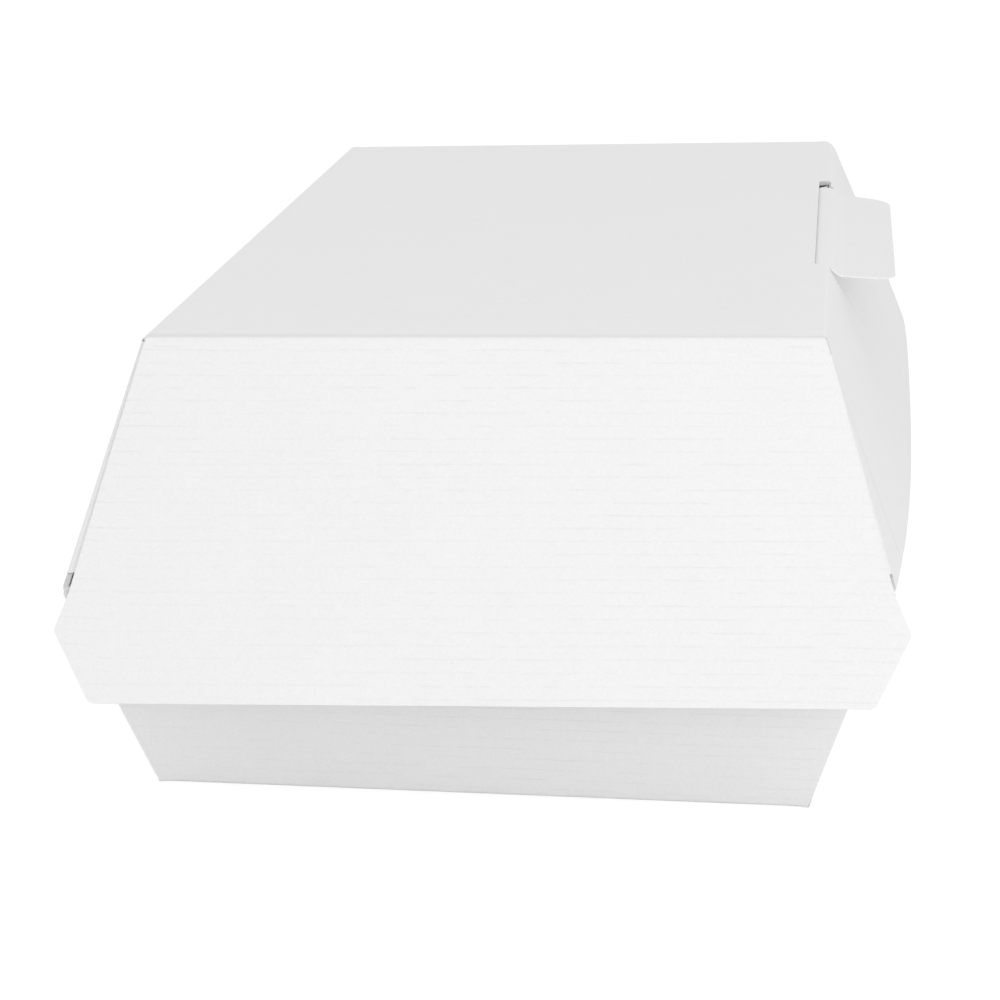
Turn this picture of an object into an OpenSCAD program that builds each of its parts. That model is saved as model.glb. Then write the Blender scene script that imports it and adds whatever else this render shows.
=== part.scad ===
// Lunch box folded from one blank of white corrugated board: a tray and a lid, joined by a
// crease along their back rims. The origin is the middle of the tray's underside, the front
// of the box looks along -Y.

/* [Box] */
// Width across the rim
rim_w = 156; // [120:1:240]
// Depth from the front rim to the back rim
rim_d = 262; // [180:1:340]
// Height of the closed box
box_h = 91; // [76:1:130]
// Height of the tray's rim
tray_h = 45; // [34:1:56]

/* [Walls] */
// How far a side wall leans out between its fold and the rim
side_lean = 14; // [4:0.5:22]
// How far the tray's front and back walls lean out
tray_lean = 14.5; // [4:0.5:22]
// How far the lid's front and back walls lean out
lid_lean = 17.5; // [4:0.5:24]
// How far the lid's side walls bulge at the middle of the rim
side_bulge = 7; // [0:0.5:9]

/* [Board] */
// Thickness of the board
board = 1; // [0.6:0.1:1.6]
// Room inside a rolled wall, between its two plies
roll_room = 1.4; // [0.8:0.1:3]
// Gap between boards that lie against each other
ply_gap = 0.2; // [0.1:0.05:0.4]
// How far a front or back wall is narrower than the box, on each side
edge_step = 0.6; // [0.3:0.1:0.9]

/* [Front panel] */
// How far the front panel hangs below the rim, along its slope
panel_drop = 20; // [8:0.5:26]
// How far below the rim the panel is at its widest, along its slope
panel_ear_drop = 6.4; // [3:0.2:7.6]
// Gap between the tray's front rim and the panel in front of it
panel_gap = 0.3; // [0.2:0.1:1.5]
// How far the panel's widest points stand out past the rim's corners
panel_ear = 0.7; // [0:0.1:3]
// How much narrower the panel's low edge is, on each side
panel_cut = 6.5; // [2:0.5:14]

/* [Slots and tongues] */
// Length of the slots
slot_l = 99; // [40:1:130]
// Width of the open slot in the lid's top
slot_w = 2.4; // [1.8:0.1:4]
// How far a slot reaches down its side wall
slot_drop = 4.4; // [3:0.1:7]
// Length of a tongue at its root
tongue_l = 95; // [36:1:126]
// How much the tongue tapers towards its tip, at each end
tongue_taper = 8; // [2:0.5:14]
// How far the open tongue sticks out past the fold
tongue_out = 13.5; // [6:0.5:20]
// Radius of the tongue's corners
tongue_r = 5; // [1:0.5:5.5]

/* [Corner flaps] */
// Length of the corner flaps behind the front and back walls
flap_l = 30; // [16:1:48]
// Room between a corner flap and the rim
flap_room = 3.6; // [2:0.2:8]

/* [Crease] */
// Gap between the tray's rim and the lid's rim, and at the crease between their back walls
crease_gap = 0.3; // [0.2:0.05:0.6]

/* [Hidden] */
$fn = 32;
panel_w = rim_w - 2 * side_lean;
lid_h = box_h - tray_h - crease_gap;
tray_d = rim_d - 2 * tray_lean;
top_d = rim_d - 2 * lid_lean;
roll_w = 2 * board + roll_room;
fold_foot = 0.6 * board;
wall_steps = 28;
height_steps = 4;
front_lean = lid_lean + board / cos(lean_angle(lid_h, lid_lean)) + panel_gap;
// How quickly the bulge dies away along the wall and down to its fold
bulge_along = 1.5;
bulge_up = 1.3;

function lean_angle(h, out) = atan(out / h);

// How far a side wall stands out at a share u of its length and v of its height
function bulge(u, v, most) = most * pow(sin(180 * u), bulge_along) * pow(v, bulge_up);

// Section of a rolled side wall: x from its outer fold, and height, all the way round
function rolled_section(h) =
    let (
        a = lean_angle(h, side_lean),
        out = function (z) z * tan(a),
        across = function (ply) ply / cos(a),
        up = [for (i = [0 : height_steps]) board + (h - 2 * board) * i / height_steps],
        down = [for (i = [height_steps : -1 : 0]) board + ply_gap + (h - 2 * board - ply_gap) * i / height_steps],
        inner = across(roll_w),
        crown = 0.3 * board
    )
    concat(
        [for (z = up) [out(z), z]],
        [[out(h) - crown, h - crown], [out(h) - board, h]],
        [[out(h) - inner + board, h], [out(h) - inner + crown, h - crown]],
        [for (z = down) [out(z) - inner, z]],
        [for (i = [0 : height_steps]) let (z = down[height_steps - i]) [out(z) - inner + across(board), z]],
        [for (i = [0 : height_steps]) let (z = up[height_steps - i]) [out(z) - across(board), z]]
    );

// Where a rolled wall ends at a height z, measured from the middle of the box
function ply_end(h, floor_d, lean, z) =
    floor_d / 2 + lean * z / h - (board + ply_gap) / cos(lean_angle(h, lean));

// Rolled side wall on the +X side, for a half of height h whose front and back walls lean out
module rolled_wall(h, floor_d, front, back, most) {
    if (most > 0) bulged_wall(h, floor_d, front, back, most);
    else straight_wall(h, floor_d, front, back);
}

module straight_wall(h, floor_d, front, back) {
    translate([panel_w / 2, 0, 0]) intersection() {
        rotate([90, 0, 0]) linear_extrude(rim_d + 2 * board, center = true) polygon(rolled_section(h));
        translate([-roll_w * 2, 0, 0]) rotate([90, 0, 90]) linear_extrude(side_lean + roll_w * 3)
            polygon([[-ply_end(h, floor_d, front, 0), 0], [ply_end(h, floor_d, back, 0), 0],
                     [ply_end(h, floor_d, back, h), h], [-ply_end(h, floor_d, front, h), h]]);
    }
}

// Triangles that close a rolled wall's section: two strips for the plies and a fan for the rim
function section_cap() =
    let (m = height_steps, rim = [m + 3, m + 4, m + 5, 3 * m + 6, 3 * m + 7, m, m + 1])
    concat(
        [for (i = [0 : m - 1]) let (q = 4 * m + 7 - i) each [[i, i + 1, q], [i + 1, q - 1, q]]],
        [for (i = [0 : m - 1]) let (q = 3 * m + 6 - i)
            each [[m + 5 + i, m + 6 + i, q], [m + 6 + i, q - 1, q]]],
        [for (i = [0 : len(rim) - 2]) [m + 2, rim[i], rim[i + 1]]]
    );

module bulged_wall(h, floor_d, front, back, most) {
    section = rolled_section(h);
    n = len(section);
    rings = [for (i = [0 : wall_steps]) let (u = i / wall_steps)
        [for (p = section)
            [panel_w / 2 + p[0] + bulge(u, p[1] / h, most),
             u * ply_end(h, floor_d, back, p[1]) - (1 - u) * ply_end(h, floor_d, front, p[1]), p[1]]]];
    points = [for (ring = rings) for (p = ring) p];
    sides = [for (i = [0 : wall_steps - 1]) for (j = [0 : n - 1]) let (k = (j + 1) % n)
        each [[i * n + j, i * n + k, (i + 1) * n + k], [i * n + j, (i + 1) * n + k, (i + 1) * n + j]]];
    front_end = [for (t = section_cap()) [t[2], t[1], t[0]]];
    back_end = [for (t = section_cap()) wall_steps * n * [1, 1, 1] + t];
    polyhedron(points, concat(front_end, sides, back_end), convexity = 6);
}

// Rounded fold along Y between a panel and a side wall
module side_fold(h, floor_d) {
    a = lean_angle(h, side_lean);
    back_off = board * tan((90 - a) / 2);
    translate([panel_w / 2 - back_off, 0, board])
        rotate([90, 0, 0]) cylinder(r = board, h = floor_d - 2 * board, center = true);
    translate([panel_w / 2 - back_off - board, -floor_d / 2 + board, 0])
        cube([board, floor_d - 2 * board, board]);
}

// Flat panel between the folds
module floor_panel(floor_d) {
    translate([-panel_w / 2 + board, -floor_d / 2 + board, 0])
        cube([panel_w - 2 * board, floor_d - 2 * board, board]);
}

// End wall on the -Y side from its outline: the sheet stands on the fold and leans out
module end_sheet(h, floor_d, end_lean, outline) {
    a = lean_angle(h, end_lean);
    translate([0, -floor_d / 2, 0]) mirror([0, 1, 0])
        rotate([90 - a, 0, 0]) linear_extrude(board) polygon(outline);
    back_off = board * tan((90 - a) / 2);
    translate([0, -floor_d / 2 + back_off, board])
        rotate([0, 90, 0]) cylinder(r = board, h = panel_w - 2 * board, center = true);
}

// Plain end wall on the -Y side, cut level at the rim
module end_wall(h, floor_d, end_lean) {
    slope = h / cos(lean_angle(h, end_lean));
    low = panel_w / 2 - edge_step;
    high = rim_w / 2 - edge_step;
    intersection() {
        end_sheet(h, floor_d, end_lean, [[-low, fold_foot], [low, fold_foot], [high, slope], [-high, slope]]);
        translate([-rim_w / 2, -rim_d / 2, 0]) cube([rim_w, rim_d / 2, h]);
    }
}

// Outline of the lid's front panel, which runs on past the rim and ends in cut corners
function panel_outline(h) =
    let (slope = h / cos(lean_angle(h, front_lean)), top = panel_w / 2 - edge_step,
         ear = rim_w / 2 + panel_ear, low = ear - panel_cut)
    [[-top, fold_foot], [top, fold_foot], [ear, slope + panel_ear_drop], [low, slope + panel_drop],
     [-low, slope + panel_drop], [-ear, slope + panel_ear_drop]];

// Corner flap in the +X, -Y corner, folded in from the side wall and lying behind the end wall
module corner_flap(h, floor_d, end_lean) {
    a = lean_angle(h, end_lean);
    foot = 3 * board;
    top = h / cos(a) - flap_room;
    taper = flap_l / 6;
    // Middle of the side wall's outer ply at a distance s up the end wall's slope
    edge = function (s) panel_w / 2 + side_lean * s * cos(a) / h - board / 2;
    translate([0, -floor_d / 2, 0]) mirror([0, 1, 0]) rotate([90 - a, 0, 0])
        translate([0, 0, board + ply_gap]) linear_extrude(board)
            polygon([[edge(foot), foot], [edge(foot) - flap_l, foot + taper],
                     [edge(top) - flap_l, top - taper], [edge(top), top]]);
}

// Slot along the side fold on the +X side, with the end of the inner ply cut away behind it.
// A torn slot is open in the panel too, by slot_w.
module slot_cut(h, torn) {
    inner = roll_w / cos(lean_angle(h, side_lean));
    under = board + ply_gap / 2;
    foot = torn ? -board : under + board / 2;
    translate([panel_w / 2 - board, -slot_l / 2, foot])
        cube([side_lean, slot_l, slot_drop - foot]);
    translate([panel_w / 2 - inner - board, -slot_l / 2, under])
        cube([inner + board / 2, slot_l, slot_drop - under]);
    if (torn)
        translate([panel_w / 2 - slot_w, -slot_l / 2, -board]) cube([slot_w + board, slot_l, board + under]);
}

// How far a tongue reaches past the fold when its tip is flush with the side wall
function flush_reach(h) = (slot_drop - board - ply_gap) * tan(lean_angle(h, side_lean));

// Tongue at the end of the inner ply on the +X side: it turns out through the slot
module tongue(h, reach) {
    a = lean_angle(h, side_lean);
    low = slot_drop - board - ply_gap;
    high = slot_drop - ply_gap;
    top = high + 3 * board;
    root = panel_w / 2 - roll_w / cos(a);
    tip = panel_w / 2 + reach;
    ply = board / cos(a);
    intersection() {
        rotate([90, 0, 0]) linear_extrude(tongue_l, center = true)
            polygon([[root + top * tan(a), top], [root + high * tan(a), high], [root + low * tan(a) + ply / 2, low],
                     [tip, low], [tip, high], [root + high * tan(a) + 1.5 * ply, high],
                     [root + (high + ply) * tan(a) + ply, high + ply], [root + top * tan(a) + ply, top]]);
        linear_extrude(h) tongue_plan(root, tip);
    }
}

// Tongue seen from above: it narrows from its root to a tip with round corners
module tongue_plan(root, tip) {
    r = min(tongue_r, (tip - root) / 2);
    taper = tongue_taper * (tip - root) / tongue_out;
    hull() {
        translate([root, -tongue_l / 2]) square([board, tongue_l]);
        for (side = [-1, 1]) translate([tip - r, side * (tongue_l / 2 - taper - r)]) circle(r);
    }
}

// What the two halves share, with the panel down and the rim up
module folded_half(h, floor_d, front, back, most) {
    floor_panel(floor_d);
    for (side = [0, 1]) mirror([side, 0, 0]) {
        rolled_wall(h, floor_d, front, back, most);
        side_fold(h, floor_d);
        corner_flap(h, floor_d, front);
        mirror([0, 1, 0]) corner_flap(h, floor_d, back);
    }
    mirror([0, 1, 0]) end_wall(h, floor_d, back);
}

// Tray: the lower half, whose tongues end flush in slots beside the floor
module base_tray() {
    color([0.93, 0.93, 0.93]) {
        difference() {
            union() {
                folded_half(tray_h, tray_d, tray_lean, tray_lean, 0);
                end_wall(tray_h, tray_d, tray_lean);
            }
            for (side = [0, 1]) mirror([side, 0, 0]) slot_cut(tray_h, false);
        }
        for (side = [0, 1]) mirror([side, 0, 0]) tongue(tray_h, flush_reach(tray_h));
    }
}

// Lid: the upper half, upside down, with the long front panel and one tongue pushed out
module lid() {
    color([0.95, 0.95, 0.95]) translate([0, 0, box_h]) mirror([0, 0, 1]) {
        difference() {
            union() {
                folded_half(lid_h, top_d, front_lean, lid_lean, side_bulge);
                end_sheet(lid_h, top_d, front_lean, panel_outline(lid_h));
            }
            slot_cut(lid_h, true);
            mirror([1, 0, 0]) slot_cut(lid_h, false);
        }
        tongue(lid_h, tongue_out);
        mirror([1, 0, 0]) tongue(lid_h, flush_reach(lid_h));
    }
}

base_tray();
lid();
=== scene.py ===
import bpy
import numpy as np
from mathutils import Matrix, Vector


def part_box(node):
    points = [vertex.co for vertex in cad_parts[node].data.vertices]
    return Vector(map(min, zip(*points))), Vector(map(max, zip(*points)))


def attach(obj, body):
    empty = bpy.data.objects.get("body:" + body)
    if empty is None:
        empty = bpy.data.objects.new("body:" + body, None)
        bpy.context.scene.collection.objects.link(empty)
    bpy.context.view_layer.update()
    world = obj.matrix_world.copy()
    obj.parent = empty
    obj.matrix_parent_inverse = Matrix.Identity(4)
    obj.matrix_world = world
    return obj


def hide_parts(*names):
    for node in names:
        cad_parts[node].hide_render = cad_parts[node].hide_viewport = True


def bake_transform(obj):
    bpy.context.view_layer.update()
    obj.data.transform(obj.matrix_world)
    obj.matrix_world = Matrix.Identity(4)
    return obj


mm = 0.001                # the sizes below are millimetres, the meshes are metres
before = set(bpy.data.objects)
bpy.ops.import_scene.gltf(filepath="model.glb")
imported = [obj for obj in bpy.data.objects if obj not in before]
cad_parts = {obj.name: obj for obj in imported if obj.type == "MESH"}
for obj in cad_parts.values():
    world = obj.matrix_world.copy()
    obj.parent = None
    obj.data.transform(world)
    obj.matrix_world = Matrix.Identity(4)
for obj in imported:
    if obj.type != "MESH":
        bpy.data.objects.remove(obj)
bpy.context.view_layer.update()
trayLow, trayHigh = [np.array(corner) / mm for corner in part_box("base_tray")]
lidHigh = np.array(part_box("lid")[1]) / mm

board = {
    "thick": 1.0,
    "pressed": 0.35,      # the pulled tongue, crushed by the slot
    "pitch": 2.44,        # from flute to flute
    "gap": 0.2,           # between boards that lie on each other
    "rollRoom": 1.4,      # inside a rolled wall
    "cornerRadius": 0.12,  # what is left of a fold at the panel's corners
    "pinch": 60,          # the power by which a fold narrows towards them
    "sharp": 38,          # degrees between faces from which an edge is drawn sharp
    "plyFrom": 9.0,       # height at which a tongue's own piece begins on the inner ply
    "tongueFlat": 90,     # where the tongues lie in the flat blank, past the side folds
    "creaseFlat": 160,    # where the crease strip lies in it
}
box = {
    "height": lidHigh[2],
    "rim": trayHigh[2],
    "depth": trayHigh[1] - trayLow[1],
    "panelWidth": 128.0,
    "sideLean": 14.0,
    "creaseGap": 0.3,
    "creaseReach": 1.6,   # how far the crease strip runs up and down the back walls
    "panelGap": 0.3,      # between the tray's front rim and the panel in front of it
    "lidDrop": 1.0,       # how much the lid's top sits lower than the solids' highest corner
    "widthBlend": 0.8,    # height over which an end wall's width leaves the panel's
    "endBlend": 0.85,     # height over which a side wall's ends leave the panel's corners
}
lidHeight = box["height"] - box["rim"] - box["creaseGap"]
lidLean, trayLean = 17.5, 14.5
tray = {
    "upsideDown": False, "height": box["rim"], "frontLean": trayLean, "backLean": trayLean,
    "floorDepth": box["depth"] - 2 * trayLean, "bulge": 0.0, "bulgeRight": 0.0,
    "sideFold": 1.4, "backRight": 1.4, "frontCorner": (0.6, 0.6), "endFold": 1.3,
    "edgeStep": 0.25, "flapFoot": 3.0, "flapRoom": 3.6,
}
lid = {
    "upsideDown": True, "height": lidHeight, "backLean": lidLean,
    "frontLean": lidLean + board["thick"] / np.cos(np.arctan(lidLean / lidHeight)) + box["panelGap"],
    "floorDepth": box["depth"] - 2 * lidLean, "bulge": 4.0, "bulgeRight": 6.3,
    "sideFold": 1.3, "backRight": 3.0, "frontCorner": (1.3, 0.15), "endFold": 1.1,
    "edgeStep": 0.6, "flapFoot": 1.05, "flapRoom": 3.6,
}
# slots along the side folds: half length, and the heights between which they are open
slots = {"half": 49.5, "low": 1.6, "high": 4.4}
# the lid's right slot, which the pulled tongue has torn open as far as the panel
torn = {"front": -46.3, "back": 53.0, "slitBack": 47.6, "width": 2.9, "end": 0.5,
        "plyShift": 0.8, "plyRise": 0.3}
# the tongues' plans: ends, how much they taper and from where, the round corners of the tip
flush = {"front": -47.5, "back": 47.5, "taper": 1.5, "taperFrom": -1.0, "shift": 0.0, "radius": 4.0,
         "radiusShare": 0.6}
pulled = {
    "front": -46.1, "back": 46.8, "taper": 2.0, "taperFrom": 4.0, "shift": -1.0, "radius": 4.6,
    "radiusShare": 0.6,
    "bends": [(-4.3, -0.15), (0.4, 0.85), (2.3, 2.45)],   # under the slot, over the fold, level again
    "bendRadii": [1.45, 2.6, 2.6], "reach": 13.8, "tipHeight": 3.4,
}
# corner flaps: length, how much each edge closes in, and the radius of their fold
flaps = {"length": 30.0, "taper": 5.0, "radius": 0.55, "margin": 0.2}
# the long front panel: how far its ears and low edge lie past the rim, its half widths from the fold
# down, and how it is rounded
panel = {"drop": 20.0, "earDrop": 6.7, "foot": 63.6, "shift": 0.4, "rim": 76.7, "ear": 79.5, "low": 72.7,
         "earRound": 0.25, "lowRound": 0.9, "pastEar": 0.4, "hang": 18.0}
# bends of the rolled walls' rims and of the tongues at their feet
rolls = {"outer": 0.9, "inner": 0.9, "foldClear": 0.2, "tongueBend": 1.5, "tongueLow": 3.2}
swelling = {
    "front": 0.25, "back": 0.045,         # shares of the length over which the right wall swells
    "leftShare": 1.5, "leftRise": 1.3,    # powers of the left wall's sine and height
    "rise": 1.4, "riseLoss": 0.8, "lossFrom": 0.45, "lossOver": 0.4,
}
opening = {"from": 0.5, "over": 0.45}     # where the lid's right fold opens out to the back
grid = {                                  # where the grids are divided finer, and into how many steps
    "alongEdge": 0.93, "alongEdgeSteps": 8, "alongFront": 22, "alongSlot": [3, 1, 60, 24, 2, 3, 1],
    "alongBack": 20, "acrossEdge": 0.94, "acrossEdgeSteps": 6, "acrossSteps": 30,
    "fold": 7, "openFold": 3, "bend": 5, "plyLow": 3, "ply": 44, "plyTop": 3, "innerPly": 14,
    "flapTurn": 6, "flapRun": 9, "endFrom": 2.4, "endLow": 5.0, "endLowSteps": 3, "endSteps": 16,
    "earNear": 1, "earSteps": 8, "round": 6, "tongueEdge": 0.85, "tongueEdgeSteps": 10,
    "tongueSteps": 24, "tongueReach": 16, "slack": 1e-3,
}
parts = {"top": 0, "end": 1, "side": 2, "flap": 3, "tongue": 4, "front": 5, "crease": 6}


# 3x² - 2x³ between 0 and 1
def smoothStep(x):
    x = np.clip(x, 0, 1)
    return x * x * (3 - 2 * x)


# numbers from stop to stop, each stretch with its own count: value, count, value, count, value
def steps(*stops):
    spans = zip(stops[:-2:2], stops[1::2], stops[2::2])
    stretches = [np.linspace(start, end, count, endpoint=False) for start, count, end in spans]
    return np.concatenate(stretches + [stops[-1:]])


class Sheet:
    # Collects grids of the board's outer face, welds them where they meet and gives them a thickness.
    # Each grid is an array (rows, columns, 3) of places, with one (rows, columns, 2) of places in the
    # flat blank

    def __init__(self, name):
        self.name, self.count = name, 0
        self.points, self.flat, self.tags, self.faces = [], [], [], []

    def add(self, part, x, y, z, u, v, outward, keep=None, at=(0.5, 0.5)):
        x, y, z, u, v = np.broadcast_arrays(x, y, z, u, v)
        rows, columns = x.shape
        index = np.arange(rows * columns).reshape(rows, columns) + self.count
        quads = np.stack([index[:-1, :-1], index[1:, :-1], index[1:, 1:], index[:-1, 1:]], -1)
        place = np.stack([x, y, z], -1)
        i, j = int(at[0] * (rows - 2)), int(at[1] * (columns - 2))
        normal = np.cross(place[i + 1, j] - place[i, j], place[i, j + 1] - place[i, j])
        if normal @ np.array(outward) < 0:
            quads = quads[..., ::-1]
        if keep is not None:
            quads = quads[keep]
        self.points.append(place.reshape(-1, 3))
        self.flat.append(np.stack([u, v], -1).reshape(-1, 2))
        self.tags.append(np.full(rows * columns, parts[part]))
        self.faces.append(quads.reshape(-1, 4))
        self.count += rows * columns

    # points that share a small cell become one, and what no face uses is dropped
    def weld(self, step=0.004, shift=0.377):
        points, flat, tags = [np.concatenate(each) for each in (self.points, self.flat, self.tags)]
        faces = np.concatenate(self.faces)
        cells = np.floor(points / step + shift).astype(np.int64)
        _, first, index = np.unique(cells, axis=0, return_index=True, return_inverse=True)
        faces = index.reshape(-1)[faces]
        used, faces = np.unique(faces, return_inverse=True)
        return points[first][used], flat[first][used], tags[first][used], faces.reshape(-1, 4)

    def build(self, shape, materials, thickness):
        points, flat, tags, faces = self.weld()
        points = shape(points, tags)
        mesh = bpy.data.meshes.new(self.name)
        mesh.from_pydata((points * mm).tolist(), [], faces.tolist())
        uv = mesh.uv_layers.new(name="blank")
        corner = np.empty(len(mesh.loops), np.int32)
        mesh.loops.foreach_get("vertex_index", corner)
        uv.data.foreach_set("uv", (flat[corner] * mm).astype(np.float32).ravel())
        for material in materials:
            mesh.materials.append(material)
        thing = bpy.data.objects.new(self.name, mesh)
        bpy.context.scene.collection.objects.link(thing)
        wall = thing.modifiers.new("thickness", "SOLIDIFY")
        wall.thickness, wall.offset = thickness * mm, -1
        wall.use_even_offset, wall.use_quality_normals = True, True
        wall.thickness_clamp = 0
        wall.material_offset_rim = 1
        graph = bpy.context.evaluated_depsgraph_get()
        solid = bpy.data.meshes.new_from_object(thing.evaluated_get(graph))
        thing.modifiers.clear()
        thing.data = solid
        solid.polygons.foreach_set("use_smooth", np.ones(len(solid.polygons), bool))
        solid.set_sharp_from_angle(angle=np.radians(board["sharp"]))
        print(f"{self.name}: {len(solid.polygons)} faces")
        return thing


def endRadius(share, radius):
    # Radius of an end fold along its share -1 to 1 of the width: r + (corner - r) |share| to a power
    return radius + (board["cornerRadius"] - radius) * np.abs(share) ** board["pinch"]


def foldArc(radius, lean, turn):
    # Round fold between a panel at height 0 and a wall that leans out by an angle: turn 0 at the panel, 1 at
    # the wall. Gives the distance out from the corner line and the height
    back = radius * np.tan((np.pi / 2 - lean) / 2)
    angle = -np.pi / 2 + turn * (np.pi / 2 - lean)
    return -back + radius * np.cos(angle), radius + radius * np.sin(angle)


def cornerFillet(before, corner, after, radius, count):
    # Points of an arc that rounds a corner of a polyline in a plane, count + 1 of them
    before, corner, after = [np.array(p, float) for p in (before, corner, after)]
    a, b = [(p - corner) / np.linalg.norm(p - corner) for p in (before, after)]
    half = np.arccos(np.clip(a @ b, -1, 1)) / 2
    middle = corner + (a + b) / np.linalg.norm(a + b) * radius / np.sin(half)
    start = corner + a * radius / np.tan(half) - middle
    end = corner + b * radius / np.tan(half) - middle
    turn = np.linspace(0, 1, count + 1)[:, None]
    sweep = np.pi - 2 * half
    return middle + (start * np.sin((1 - turn) * sweep) + end * np.sin(turn * sweep)) / np.sin(sweep)


class Half:
    # One half of the box, with its panel at height 0 and its rim up. The lid is this shape upside down

    def __init__(self, sheet, size):
        self.sheet, self.size = sheet, size
        self.width, self.depth, self.height = box["panelWidth"], size["floorDepth"], size["height"]
        self.lean = np.arctan(box["sideLean"] / self.height)
        self.endLean = [np.arctan(size[way] / self.height) for way in ("frontLean", "backLean")]
        stops = [-slots["half"], torn["front"], torn["front"] + torn["end"], 0.0, torn["slitBack"],
                 slots["half"], torn["back"] - torn["end"], torn["back"]]
        counts = grid["alongSlot"] + [grid["alongBack"]]
        middle = [value for pair in zip(stops, counts) for value in pair]
        middle[::2] = [stop * 2 / self.depth for stop in stops]
        edge, few = grid["alongEdge"], grid["alongEdgeSteps"]
        self.along = steps(-1, few, -edge, grid["alongFront"], *middle, edge, few, 1)
        self.alongPlace = self.along * self.depth / 2
        edge, few = grid["acrossEdge"], grid["acrossEdgeSteps"]
        self.across = steps(-1, few, -edge, grid["acrossSteps"], edge, few, 1)

    # passes a grid on to the sheet, with heights h measured from the panel
    def add(self, part, x, y, h, u, v, outward, **more):
        z, outward = h, list(outward)
        if self.size["upsideDown"]:
            z, outward[2] = box["height"] - h, -outward[2]
        self.sheet.add(part, x, y, z, u, v, outward, **more)

    def sideRadius(self, side):
        # Radius of a side fold along the depth. The lid's right one opens out to the back by a smooth
        # step, and both end in their own front corner by |share| to a power
        size = self.size
        openShare = smoothStep((self.along - opening["from"]) / opening["over"]) * (side > 0)
        radius = size["sideFold"] + (size["backRight"] - size["sideFold"]) * openShare
        front = np.clip(-self.along, 0, 1) ** board["pinch"]
        return radius + (size["frontCorner"][int(side > 0)] - radius) * front

    def panelPlace(self, i, j):
        # Place on the panel of node i across and j along: the folds take its edges in from the corner
        # lines by r tan((90° - lean) / 2)
        s, t = self.across[i], self.along[j]
        inward = np.tan((np.pi / 2 - self.lean) / 2)
        sides = [self.width / 2 - self.sideRadius(side)[j] * inward for side in (-1, 1)]
        ends = [self.depth / 2 - endRadius(s, self.size["endFold"]) * np.tan((np.pi / 2 - lean) / 2)
                for lean in self.endLean]
        return s * np.where(s < 0, *sides), t * np.where(t < 0, *ends)

    # the flat panel: place s, t of the half width and half depth. Where the slot is torn, the last columns
    # draw back to its inner edge, and the strip beyond it is open
    def addPanel(self, isTorn):
        i, j = np.meshgrid(np.arange(len(self.across)), np.arange(len(self.along)), indexing="ij")
        x, y = self.panelPlace(i, j)
        keep = None
        if isTorn:
            edge, place = self.width / 2 - torn["width"], self.alongPlace
            inside = (place > torn["front"] + torn["end"] / 2) & (place < torn["back"] - torn["end"] / 2)
            last = len(self.across) - 1
            cut = last - grid["acrossEdgeSteps"]
            share = (i[cut:last, inside] - cut) / (last - 1 - cut)
            left = x[cut, inside]
            x[cut:last, inside] = left + (edge - left) * share
            keep = np.ones((len(self.across) - 1, len(self.along) - 1), bool)
            keep[-1, self.columnsWithin(torn["front"], torn["back"])] = False
        self.add("top", x, y, np.zeros_like(x), x, y, (0, 0, -1), keep=keep)

    # the grid columns whose middle lies between two places
    def columnsWithin(self, low, high):
        middle = (self.alongPlace[:-1] + self.alongPlace[1:]) / 2
        return (middle > low) & (middle < high)

    def plyEnd(self, h, end):
        # Where a side wall's plies end at a height, at the front (-1) or back (1): the end wall's line
        # less the board's thickness and gap over cos(lean)
        out = self.size["frontLean"] if end < 0 else self.size["backLean"]
        clear = (board["thick"] + board["gap"]) / np.cos(np.arctan(out / self.height))
        return end * (self.depth / 2 + out * h / self.height - clear)

    def sideSection(self, isTorn):
        # Section of a rolled side wall from the top of its fold, round the rim and down to its inner
        # ply's foot: distance out from the corner line, height x tan(lean), and height
        tilt, top = np.tan(self.lean), self.height
        wide = (2 * board["thick"] + board["rollRoom"]) / np.cos(self.lean)
        outerRim, innerRim = (top * tilt, top), (top * tilt - wide, top)
        foot = board["thick"] + board["gap"] + (torn["plyRise"] if isTorn else 0)
        innerFoot = (foot * tilt - wide + (torn["plyShift"] if isTorn else 0), foot)
        outerBend = cornerFillet((0, 0), outerRim, innerRim, rolls["outer"], grid["bend"])
        innerBend = cornerFillet(outerRim, innerRim, innerFoot, rolls["inner"], grid["bend"])
        self.flapTop = self.height - self.size["flapRoom"]
        low = max(self.size["sideFold"], self.size["backRight"]) + rolls["foldClear"]
        heights = steps(low, grid["plyLow"], slots["high"], grid["ply"], self.flapTop, grid["plyTop"],
                        outerBend[0, 1])[:-1]
        outer = np.stack([heights * tilt, heights], -1)
        down = np.linspace(innerBend[-1], innerFoot, grid["innerPly"])[1:]
        return np.concatenate([outer, outerBend, innerBend, down]), len(heights)

    def addSide(self, side, isTorn):
        # Rolled side wall, side -1 or 1: the fold's arc and the section after it, carried along the depth
        # with its ends on the end walls' lines, and swollen outwards
        section, plyRows = self.sideSection(isTorn)
        outerRows = grid["fold"] + plyRows
        turn = np.linspace(0, 1, grid["fold"])[:, None]
        radius = self.sideRadius(side)[None, :]
        arcOut, arcHigh = foldArc(radius, self.lean, turn)
        share = (self.along + 1) / 2
        out = np.concatenate([arcOut, np.repeat(section[:, :1], len(self.along), 1)])
        high = np.concatenate([arcHigh, np.repeat(section[:, 1:], len(self.along), 1)])
        corner = np.full(len(self.along), 0 if side < 0 else len(self.across) - 1)
        _, panelY = self.panelPlace(corner, np.arange(len(self.along)))
        first, last = self.plyEnd(high, -1), self.plyEnd(high, 1)
        straight = first + flaps["radius"] + (last - first - 2 * flaps["radius"]) * share[None, :]
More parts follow.
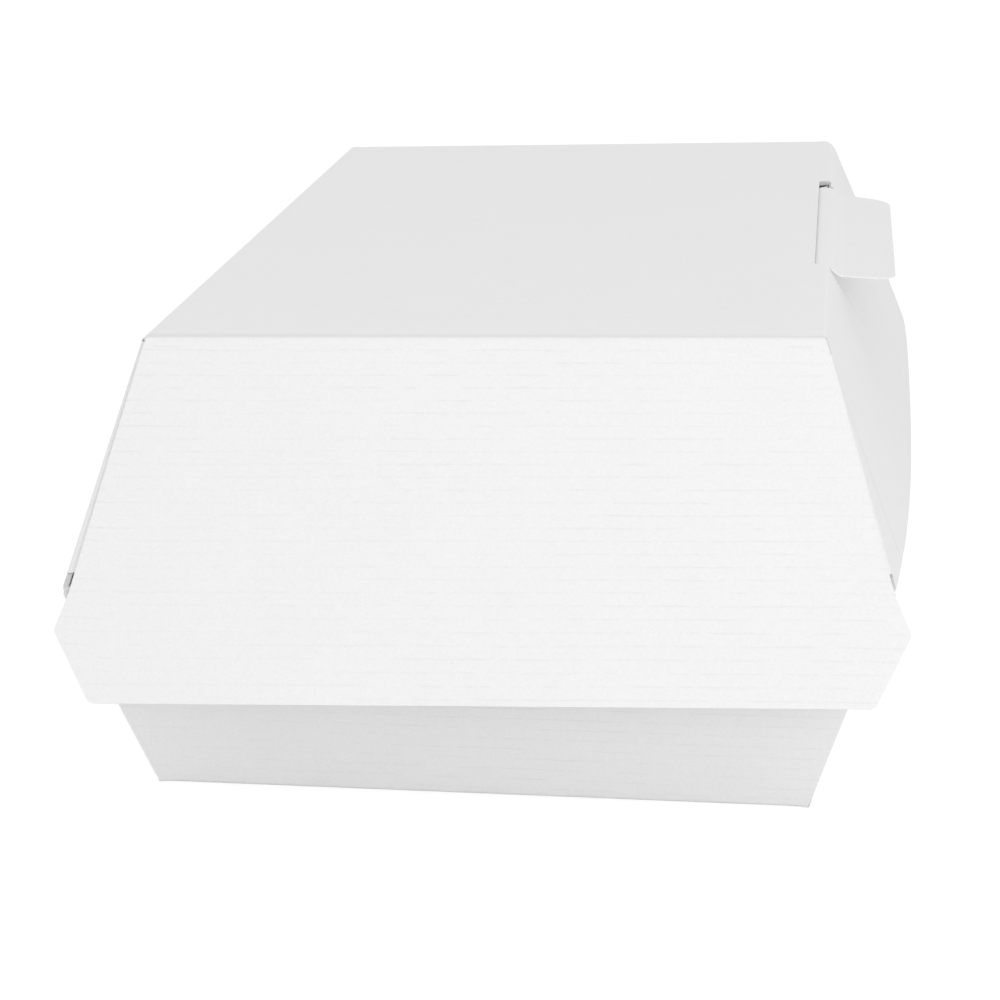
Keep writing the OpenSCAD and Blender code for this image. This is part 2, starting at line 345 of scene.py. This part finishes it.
        # the columns between the ends keep their place, for the slots' sake
        ends = np.abs(self.along) > grid["alongEdge"] - grid["slack"]
        leave = (straight - panelY[None, :]) * smoothStep(high / box["endBlend"])
        y = panelY[None, :] + np.where(ends[None, :], leave, 0)
        x = self.width / 2 + out + self.swell(side, (y - first) / (last - first), high / self.height)
        stretch = np.hypot(np.diff(out, axis=0), np.diff(high, axis=0))
        length = np.concatenate([np.zeros((1, x.shape[1])), np.cumsum(stretch, 0)])
        keep = np.ones((x.shape[0] - 1, x.shape[1] - 1), bool)
        middle = (high[:-1, :-1] + high[1:, 1:]) / 2
        row = np.arange(x.shape[0] - 1)[:, None]
        if isTorn:
            slit = self.columnsWithin(torn["front"], torn["slitBack"])[None, :]
            hole = self.columnsWithin(torn["front"], torn["back"])[None, :]
            keep &= ~(slit & (middle < slots["high"]) & (row < outerRows))
            keep &= ~(hole & (row < grid["openFold"]))
        else:
            slit = self.columnsWithin(-slots["half"], slots["half"])[None, :]
            keep &= ~(slit & (middle > slots["low"]) & (middle < slots["high"]) & (row < outerRows))
        flatU = self.width / 2 + length
        self.add("side", side * x, y, high, side * flatU, y, (side, 0, 0), keep=keep, at=(0.3, 0.5))
        self.outerPly = high[:outerRows, 0], out[:outerRows, 0]

    def swell(self, side, share, rise):
        # How far a side wall stands out at a share of its length from the front and of its height: the
        # left one like a power of a sine wave, the lid's right one like (1 - exp(-share / a)) from both
        # ends, so that it swells soon behind the front and stays full to the back
        share, rise = np.clip(share, 0, 1), np.clip(rise, 0, 1)
        if side < 0 or not self.size["bulgeRight"]:
            wave = np.sin(np.pi * share) ** swelling["leftShare"]
            return self.size["bulge"] * wave * rise ** swelling["leftRise"]
        full = (1 - np.exp(-share / swelling["front"])) * (1 - np.exp((share - 1) / swelling["back"]))
        loss = smoothStep((share - swelling["lossFrom"]) / swelling["lossOver"])
        power = swelling["rise"] - swelling["riseLoss"] * loss
        return self.size["bulgeRight"] * full * rise ** power

    def addFlap(self, side, end):
        # Corner flap: from the side wall's end round a quarter turn, then in behind the end wall, its
        # edges closing in by the taper
        high, out = self.outerPly
        foot, top = self.size["flapFoot"] - flaps["margin"], self.flapTop + grid["slack"]
        rows = [k for k in range(grid["fold"] - 1, len(high)) if foot <= high[k] <= top]
        h, outer = high[rows][:, None], self.width / 2 + out[rows][:, None]
        turn = np.linspace(0, np.pi / 2, grid["flapTurn"])[None, :]
        radius = flaps["radius"]
        inward = np.linspace(0, flaps["length"], grid["flapRun"])[None, 1:]
        x = np.concatenate([outer - radius + radius * np.cos(turn), outer - radius - inward], 1)
        edge = np.abs(self.plyEnd(h, end))
        y = np.concatenate([edge - radius + radius * np.sin(turn), edge + 0 * inward], 1)
        taper = np.concatenate([0 * turn, np.clip(inward / flaps["length"], 0, 1)], 1)
        spread = (h - h[0]) / (h[-1] - h[0])
        z = h + (1 - 2 * spread) * flaps["taper"] * taper
        y = y + (np.abs(self.plyEnd(z, end)) - edge)
        run = np.concatenate([radius * turn, radius * np.pi / 2 + inward], 1)
        self.add("flap", side * x, end * y, z, side * (self.width / 2 + h), end * (edge + run),
                 (0, end, 0), at=(0.5, 0.8))

    def addEnd(self, end, part, widths, rows):
        # End wall: the fold's arc, then lengths of slope along the lean. widths gives the half width at
        # each length
        size = self.size
        lean = self.endLean[int(end > 0)]
        turn = np.linspace(0, 1, grid["fold"])[:, None]
        radius = endRadius(self.across, size["endFold"])[None, :]
        arcOut, arcHigh = foldArc(radius, lean, turn)
        slope = rows[:, None]
        out = np.concatenate([arcOut, slope * np.sin(lean) + 0 * radius])
        high = np.concatenate([arcHigh, slope * np.cos(lean) + 0 * radius])
        reach = np.concatenate([np.hypot(arcOut, arcHigh), slope + 0 * radius])
        j = 0 if end < 0 else len(self.along) - 1
        panelX, _ = self.panelPlace(np.arange(len(self.across)), np.full(len(self.across), j))
        shift = panel["shift"] * np.clip(1 - reach / self.height, 0, 1) * (part == "front")
        wide = self.across[None, :] * widths(reach) + shift
        x = panelX[None, :] + (wide - panelX[None, :]) * smoothStep(high / box["widthBlend"])
        y = end * (self.depth / 2 + out)
        self.add(part, x, y, high, x, end * (self.depth / 2 + reach), (0, end, 0), at=(0.6, 0.5))


# length of an end wall's slope from the panel to the rim: height / cos(lean)
def slopeLength(half, way):
    return half.height / np.cos(np.arctan(half.size[way] / half.height))


def plainWidth(half):
    # Half width of a plain end wall at a length of slope: it grows with the side walls' lean
    slope = slopeLength(half, "backLean")
    return lambda reach: half.width / 2 - half.size["edgeStep"] + box["sideLean"] * reach / slope


def panelWidth(half):
    # Half width of the long front panel at a length of slope: out to the ears, then in to the low edge,
    # both corners rounded. The straight lines blend by (a + b - sqrt((a - b)² + r²)) / 2
    slope = slopeLength(half, "frontLean")
    widest, end, soft = slope + panel["earDrop"], slope + panel["drop"], panel["lowRound"]

    def width(reach):
        upper = np.interp(reach, [0, slope, widest], [panel["foot"], panel["rim"], panel["ear"]])
        upper = np.where(reach > widest, panel["ear"] + (reach - widest) * panel["pastEar"], upper)
        lower = panel["ear"] - (panel["ear"] - panel["low"]) * (reach - widest) / (end - widest)
        both = (upper + lower - np.sqrt((upper - lower) ** 2 + panel["earRound"] ** 2)) / 2
        left = np.clip(end - reach, 0, soft)
        return both - soft + np.sqrt(np.maximum(soft ** 2 - (soft - left) ** 2, 0))
    return width


def roundedLine(points, radii):
    # Polyline with each inner corner rounded by its own radius
    line = [np.array(points[:1], float)]
    for before, corner, after, radius in zip(points[:-2], points[1:-1], points[2:], radii):
        line.append(cornerFillet(before, corner, after, radius, grid["round"]))
    return np.concatenate(line + [np.array(points[-1:], float)])


# length of a line up to each of its points, as a column
def lengthAlong(line):
    return np.concatenate([[0], np.cumsum(np.hypot(np.diff(line[:, 0]), np.diff(line[:, 1])))])[:, None]


# distance out from the corner line of a rolled wall's inner ply at a height
def innerPlyOut(half, height):
    wide = (2 * board["thick"] + board["rollRoom"]) / np.cos(half.lean)
    return height * np.tan(half.lean) - wide


def addTongue(half, side, line, plan):
    # Tongue at the foot of a rolled wall's inner ply, bending out through the slot along a line of
    # distances out and heights. Its plan tapers evenly from the fold to a tip with round corners,
    # r - sqrt(r² - (r - left)²) at a distance left from the tip
    tip = line[-1, 0]
    line = np.concatenate([line[:-1], np.linspace(line[-2], line[-1], grid["tongueReach"])[1:]])
    out, high = line[:, :1], line[:, 1:]
    edge, few = grid["tongueEdge"], grid["tongueEdgeSteps"]
    share = steps(-1, few, -edge, grid["tongueSteps"], edge, few, 1)[None, :]
    past = np.clip((out - plan["taperFrom"]) / (tip - plan["taperFrom"]), 0, 1)
    radius = min(plan["radius"], (tip - plan["taperFrom"]) * plan["radiusShare"])
    left = np.clip(tip - out, 0, radius)
    rounding = radius - np.sqrt(np.maximum(radius ** 2 - (radius - left) ** 2, 0))
    middle, reach = (plan["front"] + plan["back"]) / 2, (plan["back"] - plan["front"]) / 2
    y = middle + plan["shift"] * past + share * (reach - plan["taper"] * past - rounding)
    x = half.width / 2 + out + 0 * share
    flatU = half.width / 2 + board["tongueFlat"] + lengthAlong(line) + 0 * share
    half.add("tongue", side * x, y, high + 0 * share, side * flatU, y, (0, 0, -1), at=(0.9, 0.5))


def flushLine(half):
    # Tongue that ends in its slot, level with the side wall's outer face
    high, low = board["plyFrom"], rolls["tongueLow"]
    points = [(innerPlyOut(half, high), high), (innerPlyOut(half, low), low), (low * np.tan(half.lean), low)]
    return roundedLine(points, [rolls["tongueBend"]])


def pulledLine(half):
    # Tongue pulled out: it rises to the slot, turns over the fold and sticks out, a little low at its tip
    high = board["plyFrom"]
    points = [(innerPlyOut(half, high), high), *pulled["bends"], (pulled["reach"], pulled["tipHeight"])]
    return roundedLine(points, pulled["bendRadii"])


# all the panels of one half. The half with the torn slot is the lid, and has the long front panel
def addHalf(name, size, isTorn):
    sheet = Sheet(name)
    half = Half(sheet, size)
    half.addPanel(isTorn)
    start = [grid["endFrom"], grid["endLowSteps"], grid["endLow"], grid["endSteps"]]
    backSlope, slope = slopeLength(half, "backLean"), slopeLength(half, "frontLean")
    half.addEnd(1, "end", plainWidth(half), steps(*start, backSlope - box["creaseReach"]))
    if isTorn:
        long, ear = slope + panel["drop"], slope + panel["earDrop"]
        near, few = grid["earNear"], grid["earSteps"]
        ease = long - panel["lowRound"] * (1 - np.sin(np.linspace(0, np.pi / 2, few)))
        rows = steps(*start, ear - near, few, ear + near, few, ease[0])[:-1]
        half.addEnd(-1, "front", panelWidth(half), np.concatenate([rows, ease]))
    else:
        half.addEnd(-1, "end", plainWidth(half), steps(*start, slope))
    for side in (-1, 1):
        half.addSide(side, isTorn and side == 1)
        for end in (-1, 1):
            half.addFlap(side, end)
    return sheet, half


# a grey as a colour socket takes it
def socketColour(value):
    return (value, value, value, 1)


class Wire:
    # A shader socket that takes arithmetic: each operator adds a Math node

    def __init__(self, tree, socket):
        self.tree, self.socket = tree, socket

    def math(self, operation, other=None, swap=False):
        values = [other, self] if swap else [self, other]
        values = [value for value in values if value is not None]
        return self.tree.node("ShaderNodeMath", {"operation": operation}, *values)

    def __add__(self, other):
        return self.math("ADD", other)

    def __radd__(self, other):
        return self.math("ADD", other)

    def __sub__(self, other):
        return self.math("SUBTRACT", other)

    def __rsub__(self, other):
        return self.math("SUBTRACT", other, swap=True)

    def __mul__(self, other):
        return self.math("MULTIPLY", other)

    def __rmul__(self, other):
        return self.math("MULTIPLY", other)

    def __truediv__(self, other):
        return self.math("DIVIDE", other)

    def __gt__(self, other):
        return self.math("GREATER_THAN", other)

    def __lt__(self, other):
        return self.math("LESS_THAN", other)

    def __abs__(self):
        return self.math("ABSOLUTE")


class Finish:
    # A material whose nodes come from one method

    def __init__(self, name):
        self.material = bpy.data.materials.new(name)
        self.material.use_nodes = True
        self.nodes, self.links = self.material.node_tree.nodes, self.material.node_tree.links
        self.shader = self.nodes["Principled BSDF"]

    def node(self, kind, settings=None, *inputs, output=0, **named):
        made = self.nodes.new(kind)
        for key, value in (settings or {}).items():
            setattr(made, key, value)
        byName = [(key.replace("_", " "), value) for key, value in named.items()]
        for key, value in list(enumerate(inputs)) + byName:
            self.join(made.inputs[key], value)
        return Wire(self, made.outputs[output])

    def join(self, socket, value):
        if isinstance(value, Wire):
            self.links.new(value.socket, socket)
        else:
            socket.default_value = value

    def noise(self, vector, scale, detail=2.0, roughness=0.5):
        return self.node("ShaderNodeTexNoise", {"noise_dimensions": "3D"}, Vector=vector, Scale=scale,
                         Detail=detail, Roughness=roughness)

    def soft(self, value, low, high):
        # 0 below low, 1 above high, smooth between
        return self.node("ShaderNodeMapRange", {"interpolation_type": "SMOOTHSTEP"}, Value=value,
                         From_Min=low, From_Max=high)

    # the colour sockets of a Mix node are its inputs 6 and 7 and its output 2
    def mix(self, share, first, second):
        made = self.nodes.new("ShaderNodeMix")
        made.data_type = "RGBA"
        self.join(made.inputs[0], share)
        self.join(made.inputs[6], first)
        self.join(made.inputs[7], second)
        return Wire(self, made.outputs[2])

    def set(self, **values):
        for key, value in values.items():
            self.join(self.shader.inputs[key.replace("_", " ")], value)


# scoreShade is the grey painted as shade into the front fold's score
paper = {
    "colour": 0.875, "shade": 0.79, "line": 0.76, "scoreShade": 0.76, "speck": 0.5,
    "roughness": 0.62, "roughnessPlay": 0.06, "specular": 0.35,
    "fibre": 2600.0, "grain": 1700.0, "cloud": 60.0, "wander": 35.0, "patch": 16.0,   # per metre
    "fibreShare": 0.38, "grainShare": 0.5, "cloudShare": 0.12,
    "bump": 0.22, "bumpDepth": 0.12,
}
flutes = {
    "dashes": (170, 410, 1),          # per metre, across and along the flutes
    "lineCore": 0.03, "lineWidth": 0.10, "wander": 0.25,   # shares of the pitch
    "broken": (0.40, 0.58), "patch": (0.35, 0.65), "patchShare": 0.5,
    "front": (110.0, 114.0), "frontShare": 0.7, "face": (66.0, 62.0), "faceShare": 0.35, "strength": 0.5,
}
relief = {"fibre": 0.5, "grain": 0.9, "cloud": 0.6, "line": 1.2, "scoreShade": 0.8, "mark": 1.5}
specks = {"cells": 60.0, "radius": (0.012, 0.028), "patches": 48.0, "chance": (0.66, 0.68), "strength": 0.6}
# scoreShade places the band of painted shade along the front fold, and scoreShadeStrength sets how dark it
# is painted
marks = {
    "scoreShade": 113.4, "scoreWidth": 3.8, "scoreNarrows": 0.020, "scoreEdge": (0.3, 1.0), "scoreShadeStrength": 0.5,
    # barShadeStrength: how dark the painted shade on each L's bar is
    "markU": 61.6, "markV": 115.2, "line": 0.35, "barInner": (6, 4), "barShadeStrength": 0.35,
    "postDown": 1, "postEnds": (0.8, 1.3),
}


# White board: mottled and fibrous white, broken dark lines over the flutes, a few specks. The front fold's
# score is a soft band of painted shade, and the front panel has a pressed L at each upper corner whose bar
# is painted darker as shade
def paperFinish(name):
    f = Finish(name)
    flat = f.node("ShaderNodeUVMap", {"uv_map": "blank"})
    place = f.node("ShaderNodeTexCoord", output="Object")
    split = f.node("ShaderNodeSeparateXYZ", None, flat)
    u, v = split, Wire(f, split.socket.node.outputs["Y"])

    # flute lines: thin where the distance to the middle of a flute is small, broken up along the flute
    stretched = f.node("ShaderNodeMapping", None, flat, Scale=flutes["dashes"])
    wander = f.noise(place, paper["wander"])
    along = v / (board["pitch"] * mm) + (wander - 0.5) * flutes["wander"]
    across = abs(f.node("ShaderNodeMath", {"operation": "FRACT"}, along) - 0.5)
    thin = 1 - f.soft(across, flutes["lineCore"], flutes["lineWidth"])
    broken = f.soft(f.noise(stretched, 1.0, detail=3.0, roughness=0.7), *flutes["broken"])
    patch = f.soft(f.noise(place, paper["patch"], detail=1.0), *flutes["patch"])
    front = f.soft(v * -1.0, *[edge * mm for edge in flutes["front"]])
    face = f.soft(abs(u) * -1.0, *[-edge * mm for edge in flutes["face"]])
    shown = front * flutes["frontShare"] + face * (1 - front) * flutes["faceShare"]
    line = thin * broken * (patch * flutes["patchShare"] + (1 - flutes["patchShare"])) * shown

    fibre = f.noise(place, paper["fibre"], detail=3.0, roughness=0.6)
    grain = f.noise(place, paper["grain"], detail=3.0, roughness=0.65)
    cloud = f.noise(place, paper["cloud"])
    speckle = f.node("ShaderNodeTexVoronoi", {"feature": "F1"}, Vector=place, Scale=specks["cells"])
    chance = f.soft(f.noise(place, specks["patches"], detail=0.0), *specks["chance"])
    speck = (1 - f.soft(speckle, *specks["radius"])) * chance

    # the score's painted shade: a darker band that begins at the fold and narrows to the right
    scoreWidth = u * -marks["scoreNarrows"] + marks["scoreWidth"] * mm
    above = v + marks["scoreShade"] * mm
    scoreShade = (1 - f.soft(above / scoreWidth, *marks["scoreEdge"])) * (above > 0.0)

    # each pressed L is a bar across, sunk and painted darker as shade, and a post down, only raised
    wide = abs(u)
    barInner = [(marks["markU"] - edge) * mm for edge in marks["barInner"]]
    barShade = 1 - f.soft(abs(v + marks["markV"] * mm), 0.0, marks["line"] * mm)
    barShade = barShade * f.soft(wide, *barInner) * (wide < marks["markU"] * mm)
    post = 1 - f.soft(abs(wide - marks["markU"] * mm), 0.0, marks["line"] * mm)
    down = abs(v + (marks["markV"] + marks["postDown"]) * mm)
    post = post * (1 - f.soft(down, *[edge * mm for edge in marks["postEnds"]]))

    tone = cloud * paper["cloudShare"] + fibre * paper["fibreShare"] + grain * paper["grainShare"]
    white = f.mix(tone, socketColour(paper["shade"]), socketColour(paper["colour"] * 2 - paper["shade"]))
    lined = f.mix(line * flutes["strength"], white, socketColour(paper["line"]))
    # painted shade of the score and of each L's bar, mixed over the board's colour
    pressed = scoreShade * marks["scoreShadeStrength"] + barShade * marks["barShadeStrength"]
    scored = f.mix(pressed, lined, socketColour(paper["scoreShade"]))
    spotted = f.mix(speck * specks["strength"], scored, socketColour(paper["speck"]))
    raised = fibre * relief["fibre"] + grain * relief["grain"] + cloud * relief["cloud"]
    sunk = line * relief["line"] + scoreShade * relief["scoreShade"]
    height = raised - sunk + (post - barShade) * relief["mark"]
    bump = f.node("ShaderNodeBump", None, Strength=paper["bump"], Distance=paper["bumpDepth"] * mm,
                  Height=height)
    roughness = cloud * paper["roughnessPlay"] + (paper["roughness"] - paper["roughnessPlay"] / 2)
    f.set(Base_Color=spotted, Roughness=roughness, Normal=bump, Specular_IOR_Level=paper["specular"])
    return f.material


# hollowShadeShare: how dark the painted shade in the flutes' hollows is
cutEdge = {
    "light": 0.84, "dark": 0.55, "fine": 1800.0, "hollows": 620.0, "hollowEdge": (0.42, 0.62),
    "hollowShadeShare": 0.4, "fineShare": 0.3, "bump": 0.4, "bumpDepth": 0.2, "roughness": 0.85, "specular": 0.2,
}


# cut edge of the board: fibrous and greyer, with darker spots of painted shade where the flutes' hollows are
def cutFinish(name):
    f = Finish(name)
    place = f.node("ShaderNodeTexCoord", output="Object")
    fine = f.noise(place, cutEdge["fine"], detail=3.0, roughness=0.7)
    hollowShade = f.soft(f.noise(place, cutEdge["hollows"], detail=1.0), *cutEdge["hollowEdge"])
    # fibre grain plus the painted shade of the hollows
    dark = hollowShade * cutEdge["hollowShadeShare"] + fine * cutEdge["fineShare"]
    tone = f.mix(dark, socketColour(cutEdge["light"]), socketColour(cutEdge["dark"]))
    bump = f.node("ShaderNodeBump", None, Strength=cutEdge["bump"], Distance=cutEdge["bumpDepth"] * mm,
                  Height=fine - hollowShade)
    f.set(Base_Color=tone, Roughness=cutEdge["roughness"], Normal=bump,
          Specular_IOR_Level=cutEdge["specular"])
    return f.material


# the crease down the lid's right wall: from start to end in y and z, its height, the hollow's depth behind
# it, and the distances over which each dies away
ridge = {
    "start": (-43.0, 85.6), "end": (-13.0, 67.7), "crest": 0.75, "depth": 2.3, "width": 11.0, "reach": 46.0,
    "crestBehind": 0.9, "hollowFrom": 1.5, "crestAhead": 2.2, "foldRoom": 6,
}

# how far the corners of the lid and the tray stand off their places, in x y z: front and back, for the left
# side and then the right
lidTop = np.array([[(1.18, 0, -0.88), (0.15, 0, -0.93)], [(1.90, 0, 0.48), (0.17, 0, 0.95)]])
lidRim = np.array([[(1.45, 0, -1.5), (0, 0, 0)], [(1.37, 0, 1.85), (0, 0, 0)]])
panelRim = np.array([[(2.05, 0, -1.3), (0, 0, 0)], [(2.35, 0, 1.7), (0, 0, 0)]])
panelLow = np.array([[(2.85, 0, -1.5), (0, 0, 0)], [(3.0, 0, 1.5), (0, 0, 0)]])
trayRim = np.array([[(1.75, 0, -1.3), (0, 0, 0)], [(1.30, 0, 1.75), (0, 0, 0)]])
trayFoot = np.array([[(0.2, 0.75, 0), (0, 0, 0)], [(-0.1, -2.6, 0), (0, 0, 0)]])
pressPower = 2.5


def settle(points, stages):
    # Moves points with the corners of the half: linear across the width and the depth, each stage with
    # its own weight over the height
    halfWidth = box["panelWidth"] / 2 + box["sideLean"] / 2
    side = np.clip(points[:, :1] / halfWidth, -1, 1) / 2 + 0.5
    end = np.clip(points[:, 1:2] / box["depth"] + 0.5, 0, 1)
    for weight, moves in stages:
        left, right = [front * (1 - end) + back * end for front, back in moves]
        points = points + weight[:, None] * (left * (1 - side) + right * side)
    return points


def lidShape(points, tags):
    # The closed lid sits a little askew, and its right wall is creased from the slot downwards: a crest
    # exp(-distance) high ahead of the line, and behind it a hollow (1 - exp(-d / a)) exp(-d / b) deep
    x, y, z = points.T.copy()
    wall = (x > 0) & (tags == parts["side"])
    y0, z0 = ridge["start"]
    dy, dz = ridge["end"][0] - y0, ridge["end"][1] - z0
    size = np.hypot(dy, dz)
    down = ((y - y0) * dy + (z - z0) * dz) / size
    behind = ((y - y0) * -dz + (z - z0) * dy) / size
    fade = smoothStep(1 - down / ridge["reach"]) * smoothStep((box["height"] - z) / ridge["foldRoom"])
    far = np.maximum(behind, 0)
    sunk = ridge["depth"] * (1 - np.exp(-far / ridge["hollowFrom"])) * np.exp(-far / ridge["width"])
    hollow = ridge["crest"] * np.exp(-far / ridge["crestBehind"]) - sunk
    lift = ridge["crest"] * np.exp(-np.maximum(-behind, 0) / ridge["crestAhead"])
    x = x + wall * fade * np.where(behind > 0, hollow, lift)
    rise = (z - box["rim"] - box["creaseGap"]) / lidHeight
    z = z - np.clip(rise, 0, 1) * box["lidDrop"]
    points = np.stack([x, y, z], -1)
    isPanel = tags == parts["front"]
    low = np.clip(-rise * lidHeight / panel["hang"], 0, 1)
    top = np.clip(rise, 0, 1)
    between = (1 - top) * (1 - low)
    return settle(points, [(top, lidTop), (between * ~isPanel, lidRim), (between * isPanel, panelRim),
                           (low, panelLow)])


def trayShape(points, tags):
    # The lid presses the tray's rim askew, by a power of the height, and the foot of its front wall
    # stands a little turned
    rise = np.clip(points[:, 2] / box["rim"], 0, 1)
    return settle(points, [(rise ** pressPower, trayRim), (1 - rise, trayFoot)])


white, cut = paperFinish("whiteBoard"), cutFinish("cutEdge")
traySheet, trayHalf = addHalf("trayBoard", tray, False)
lidSheet, lidHalf = addHalf("lidBoard", lid, True)
trayBoard = traySheet.build(trayShape, [white, cut], board["thick"])
lidBoard = lidSheet.build(lidShape, [white, cut], board["thick"])


# one tongue as its own piece. The tray's rest in their slots, and so does the lid's left one
def buildTongue(name, half, side, line, plan, shape, rim, thickness):
    half.sheet = Sheet(name)
    addTongue(half, side, line, plan)
    return half.sheet.build(shape, [white, rim], thickness)


def flushTongue(name, half, side, shape):
    return buildTongue(name, half, side, flushLine(half), flush, shape, cut, board["thick"])


def pulledTongue(name, half, side, shape):
    return buildTongue(name, half, side, pulledLine(half), pulled, shape, white, board["pressed"])


pieces = [
    (trayBoard, "tray", "tray_board"), (lidBoard, "lid", "lid_board"),
    (flushTongue("trayTongueLeft", trayHalf, -1, trayShape), "tray", "tray_board"),
    (flushTongue("trayTongueRight", trayHalf, 1, trayShape), "tray", "tray_board"),
    (flushTongue("lidTongueLeft", lidHalf, -1, lidShape), "lid", "lid_board"),
    (pulledTongue("lidTongueRight", lidHalf, 1, lidShape), "lid", "lid_board"),
]
for piece, body, slot in pieces:
    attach(piece, body)
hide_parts("base_tray")
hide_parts("lid")


creaseFold = {"radius": 1.2, "bend": 8, "run": 5, "across": 41, "inset": 0.4}


# crease between the two back walls: up the tray's slope, round the rim's line, up the lid's slope
def creaseStrip():
    low = np.array([box["depth"] / 2, box["rim"]])
    high = np.array([box["depth"] / 2, box["rim"] + box["creaseGap"]])
    trayWay = np.array([tray["backLean"], tray["height"]]) / np.hypot(tray["backLean"], tray["height"])
    lidWay = np.array([-lid["backLean"], lid["height"]]) / np.hypot(lid["backLean"], lid["height"])
    start, end = low - trayWay * box["creaseReach"], high + lidWay * box["creaseReach"]
    bend = cornerFillet(start, (low + high) / 2, end, creaseFold["radius"], creaseFold["bend"])
    below, above = [np.linspace(*ends, creaseFold["run"]) for ends in ((start, bend[0]), (bend[-1], end))]
    line = np.concatenate([below[:-1], bend, above[1:]])
    sheet = Sheet("creaseStrip")
    wide = box["panelWidth"] / 2 + box["sideLean"] - lid["edgeStep"] - creaseFold["inset"]
    x = (np.linspace(-1, 1, creaseFold["across"]) * wide)[None, :]
    y, z = line[:, :1] + 0 * x, line[:, 1:] + 0 * x
    sheet.add("crease", x + 0 * y, y, z, x, board["creaseFlat"] + lengthAlong(line), (0, 1, 0))
    return sheet.build(trayShape, [white, cut], board["thick"])


crease = creaseStrip()
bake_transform(crease)
print("board pieces done")

# the photograph's camera: place in millimetres, turns in degrees, focus in pixels of a picture 1000 wide
view = {
    "place": (70.9, -605.9, 204.3), "yaw": 7.63, "pitch": 16.36, "roll": -1.13,
    "focus": 2739.6, "pictureWidth": 1000, "sensor": 36, "near": 0.01, "far": 20,
}


def photoCamera():
    # Camera at the view's place: its axes are ahead, right and up from yaw and pitch, then rolled
    yaw, pitch, roll = np.radians([view["yaw"], view["pitch"], view["roll"]])
    ahead = np.array([-np.sin(yaw) * np.cos(pitch), np.cos(yaw) * np.cos(pitch), -np.sin(pitch)])
    right = np.array([np.cos(yaw), np.sin(yaw), 0])
    up = np.cross(right, ahead)
    right, up = right * np.cos(roll) + up * np.sin(roll), up * np.cos(roll) - right * np.sin(roll)
    data = bpy.data.cameras.new("photoCamera")
    data.sensor_width, data.lens = view["sensor"], view["focus"] * view["sensor"] / view["pictureWidth"]
    data.clip_start, data.clip_end = view["near"], view["far"]
    camera = bpy.data.objects.new("photoCamera", data)
    turn = Matrix([[*row] for row in np.stack([right, up, -ahead], 1)]).to_4x4()
    camera.matrix_world = Matrix.Translation(np.array(view["place"]) * mm) @ turn
    bpy.context.scene.collection.objects.link(camera)
    bpy.context.scene.camera = camera


studio = {
    "world": 0.71,
    "floorTone": 0.93, "floorShadow": 0.35, "floorGlow": 1.19, "floorRoughness": 0.9, "floorHalf": 6.0,
    "steep": 0.99,        # above this, a lamp points straight down and takes its side from the y axis
    "lamps": [
        {"name": "keyLamp", "place": (560, -900, 480), "target": (0, -60, 60), "size": 700, "power": 2.3},
        {"name": "lowLamp", "place": (150, -1000, 120), "target": (0, -100, 20), "size": 600, "power": 1.0},
        {"name": "topLamp", "place": (-100, 80, 1300), "target": (0, 0, 45), "size": 1200, "power": 2.0},
    ],
}


# Plain white world, dimmer for what it lights than for what the camera sees, and square lamps. A lamp's
# back axis points from its target to its place
def studioLight():
    world = bpy.data.worlds.new("studio")
    world.use_nodes = True
    bpy.context.scene.world = world
    nodes, links = world.node_tree.nodes, world.node_tree.links
    background = nodes["Background"]
    path = nodes.new("ShaderNodeLightPath")
    seen = nodes.new("ShaderNodeMath")
    seen.operation = "MAXIMUM"
    links.new(path.outputs["Is Camera Ray"], seen.inputs[0])
    links.new(path.outputs["Is Glossy Ray"], seen.inputs[1])
    strength = nodes.new("ShaderNodeMapRange")
    strength.inputs["To Min"].default_value = studio["world"]
    strength.inputs["To Max"].default_value = 1.0
    links.new(seen.outputs[0], strength.inputs["Value"])
    links.new(strength.outputs[0], background.inputs["Strength"])
    background.inputs["Color"].default_value = (1, 1, 1, 1)
    for lamp in studio["lamps"]:
        data = bpy.data.lights.new(lamp["name"], "AREA")
        data.size, data.energy = lamp["size"] * mm, lamp["power"]
        thing = bpy.data.objects.new(lamp["name"], data)
        place, target = np.array(lamp["place"]) * mm, np.array(lamp["target"]) * mm
        back = (place - target) / np.linalg.norm(place - target)
        side = np.cross((0, 0, 1) if abs(back[2]) < studio["steep"] else (0, 1, 0), back)
        side /= np.linalg.norm(side)
        turn = Matrix([[*row] for row in np.stack([side, np.cross(back, side), back], 1)]).to_4x4()
        thing.matrix_world = Matrix.Translation(place) @ turn
        bpy.context.scene.collection.objects.link(thing)


def paleFloor():
    # White floor, a square: mostly plain white to the camera, with a share of the real shading
    mesh = bpy.data.meshes.new("floor")
    corners = np.array([[-1, -1, 0], [1, -1, 0], [1, 1, 0], [-1, 1, 0]]) * studio["floorHalf"]
    mesh.from_pydata(corners.tolist(), [], [(0, 1, 2, 3)])
    floor = bpy.data.objects.new("floor", mesh)
    bpy.context.scene.collection.objects.link(floor)
    f = Finish("paleFloor")
    f.set(Base_Color=socketColour(studio["floorTone"]), Roughness=studio["floorRoughness"])
    glow = f.node("ShaderNodeEmission", None, Color=(1, 1, 1, 1), Strength=studio["floorGlow"])
    path = f.node("ShaderNodeLightPath")
    glossy = Wire(f, path.socket.node.outputs["Is Glossy Ray"])
    seen = f.node("ShaderNodeMath", {"operation": "MAXIMUM"}, path, glossy)
    share = seen * (1 - studio["floorShadow"])
    blend = f.node("ShaderNodeMixShader", None, share, Wire(f, f.shader.outputs[0]), glow)
    f.links.new(blend.socket, f.nodes["Material Output"].inputs["Surface"])
    mesh.materials.append(f.material)


photoCamera()
studioLight()
paleFloor()
bpy.context.scene.view_settings.view_transform = "Standard"
print("camera, lamps and floor done")
